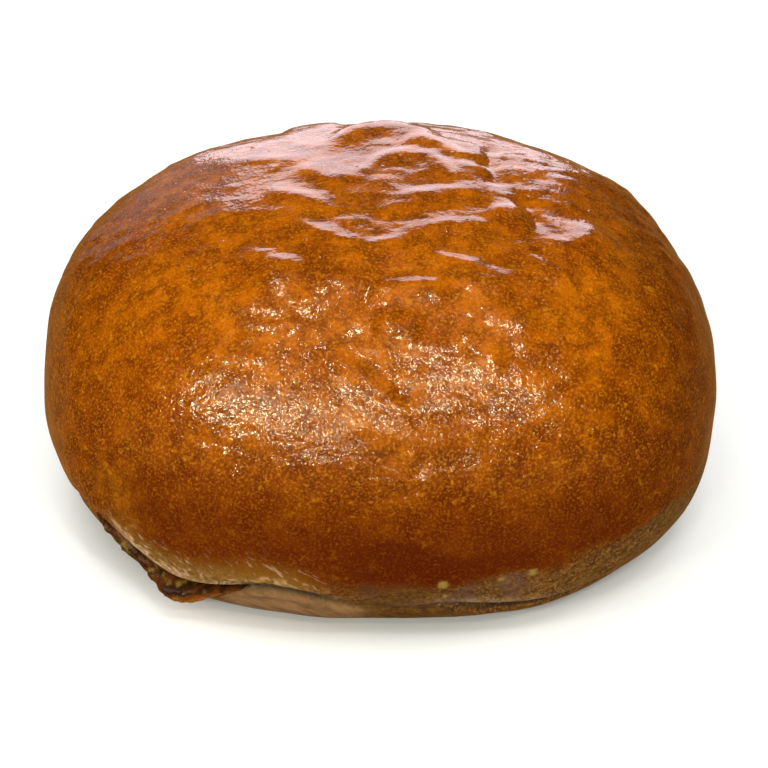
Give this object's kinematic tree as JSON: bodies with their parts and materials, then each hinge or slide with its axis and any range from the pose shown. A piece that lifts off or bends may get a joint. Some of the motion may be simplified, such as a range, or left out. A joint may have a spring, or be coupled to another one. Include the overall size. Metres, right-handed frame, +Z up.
{
  "type": "hamburger bun",
  "caption": "Glazed oval bread bun with a high wrinkled crown and a pale flat foot, its seam split at one corner so that dark filling shows.",
  "frame": {"origin": "on the flat base, on the axis that the bun was shaped about", "axes": "+Z up from the base, +X along the longer side of the oval plan, -Y towards the front where the split is to the left"},
  "size_m": [0.1144, 0.0983, 0.0578],
  "materials": {
    "crust": "egg-glazed golden brown crust, pale at the foot",
    "filling": "dark moist cooked filling"
  },
  "bodies": {
    "root": {"bun": "crust", "filling": "filling"}
  },
  "joints": []
}
